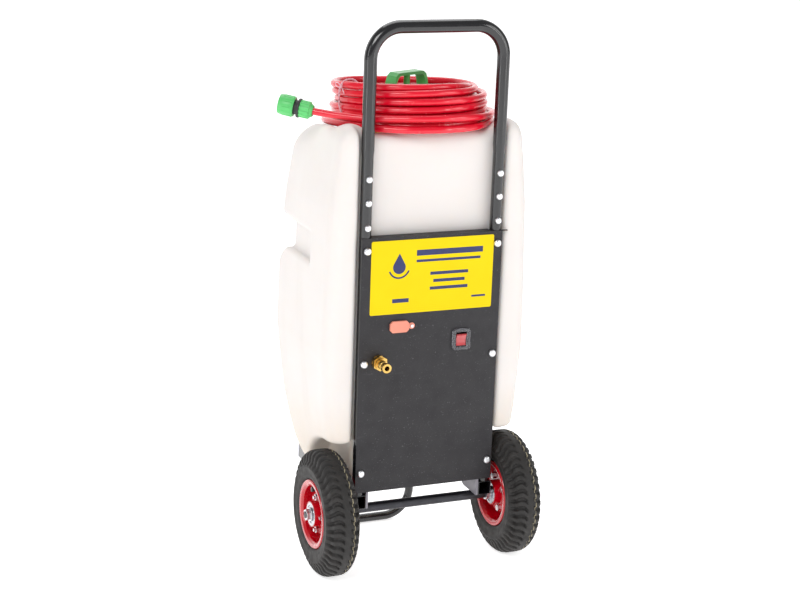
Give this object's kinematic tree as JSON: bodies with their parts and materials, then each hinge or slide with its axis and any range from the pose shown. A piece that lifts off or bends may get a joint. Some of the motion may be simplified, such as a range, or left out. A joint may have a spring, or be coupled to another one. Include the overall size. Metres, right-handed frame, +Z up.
{
  "type": "electric water trolley",
  "caption": "Two-wheeled tank trolley with a tall moulded tank, tube handle, cover panel with pump outlet and switch, pneumatic wheels and a coil of hose",
  "frame": {"origin": "on the floor, under the middle of the standing cart's box, cord and its fittings left out", "axes": "+Z up, +X to the operator's right, +Y away from the operator, who stands at -Y behind the panel"},
  "size_m": [0.4512, 0.3658, 0.9521],
  "materials": {
    "frame_paint": "gloss black powder coat",
    "bracket_paint": "grey primer",
    "axle_steel": "dark oiled steel",
    "zinc": "bright zinc plate",
    "cap_plastic": "satin",
    "panel_paint": "satin fine-texture powder coat",
    "label_vinyl": "printed vinyl",
    "socket_black": "satin",
    "cap_rubber": "matte",
    "rocker_red": "translucent gloss",
    "hood_grey": "clear grey",
    "brass": "machined",
    "tank_pe": "moulded polyethylene",
    "lid_green": "satin moulded",
    "handle_green": "gloss moulded",
    "seal_rubber": "matte",
    "fitting_black": "satin",
    "clear_hose": "braided clear hose",
    "pump_black": "cast and painted",
    "motor_grey": "painted can",
    "battery_case": "moulded case",
    "tray_paint": "grey paint",
    "wire_red": "wire sleeve",
    "hose_red": "gloss hose",
    "connector_green": "satin moulded",
    "connector_black": "matte",
    "tie_pink": "plastic tie",
    "tyre_rubber": "matte",
    "tube_rubber": "matte",
    "rim_red": "gloss red",
    "bearing_steel": "ground steel"
  },
  "bodies": {
    "chassis": {"upright_left": "frame_paint", "upright_right": "frame_paint", "rail_left": "frame_paint", "rail_right": "frame_paint", "front_crossbar": "frame_paint", "axle_brackets": "bracket_paint", "axle": "axle_steel", "axle_spacers": "zinc", "axle_washers": "zinc", "axle_nuts": "zinc", "front_foot": "frame_paint", "rail_end_caps": "cap_plastic", "handle_tube": "frame_paint", "handle_bolts": "zinc", "handle_weld_nuts": "zinc", "cover_panel": "panel_paint", "panel_bolts": "zinc", "label_plate": "label_vinyl", "charge_socket": "socket_black", "cap_screw": "zinc", "switch_body": "socket_black", "switch_hood": "hood_grey", "outlet_fitting": "brass", "outlet_locknut": "brass", "tank_shell": "tank_pe", "tank_outlet": "fitting_black", "suction_hose": "clear_hose", "pump_head": "pump_black", "pump_motor": "motor_grey", "pressure_hose": "clear_hose", "battery": "battery_case", "battery_tray": "tray_paint", "wiring_loom": "wire_red", "hose_coil": "hose_red", "hose_tail": "hose_red", "hose_inner_fitting": "brass", "connector_body": "connector_black", "connector_nut": "connector_green", "coil_tie": "tie_pink"},
    "wheel_left": {"tyre_left": "tyre_rubber", "inner_tube_left": "tube_rubber", "valve_cap_left": "fitting_black", "rim_outer_left": "rim_red", "rim_inner_left": "rim_red", "bearings_left": "bearing_steel", "rim_bolts_left": "zinc"},
    "wheel_right": {"tyre_right": "tyre_rubber", "inner_tube_right": "tube_rubber", "valve_cap_right": "fitting_black", "rim_outer_right": "rim_red", "rim_inner_right": "rim_red", "bearings_right": "bearing_steel", "rim_bolts_right": "zinc"},
    "rocker": {"switch_rocker": "rocker_red"},
    "charge_cap_body": {"charge_cap": "cap_rubber"},
    "lid": {"tank_lid": "lid_green", "lid_seal": "seal_rubber", "lid_handle": "handle_green"},
    "sleeve": {"connector_sleeve": "connector_green"}
  },
  "joints": [
    {"name": "wheel_left_spin", "type": "hinge", "parent": "chassis", "child": "wheel_left", "pos_m": [-0.17, -0.07288, 0.11], "axis": [1, 0, 0], "continuous": true},
    {"name": "wheel_right_spin", "type": "hinge", "parent": "chassis", "child": "wheel_right", "pos_m": [0.17, -0.07288, 0.11], "axis": [1, 0, 0], "continuous": true},
    {"name": "rocker_press", "type": "hinge", "parent": "chassis", "child": "rocker", "pos_m": [0.0588, -0.12431, 0.40807], "axis": [1, 0, 0], "range_deg": [-16, 0]},
    {"name": "charge_cap_swing", "type": "hinge", "parent": "chassis", "child": "charge_cap_body", "pos_m": [-0.0346, -0.13015, 0.43916], "axis": [0, -0.9959, -0.0906], "range_deg": [0, 110]},
    {"name": "lid_turn", "type": "hinge", "parent": "chassis", "child": "lid", "pos_m": [0, -0.02116, 0.77743], "axis": [0, -0.0906, 0.9959], "range_deg": [0, 270]},
    {"name": "sleeve_slide", "type": "slide", "parent": "chassis", "child": "sleeve", "axis": [-0.8203, 0.5327, 0.2079], "range_m": [-0.005, 0], "stiffness_N_per_m": 900, "springref_m": 0.001}
  ]
}
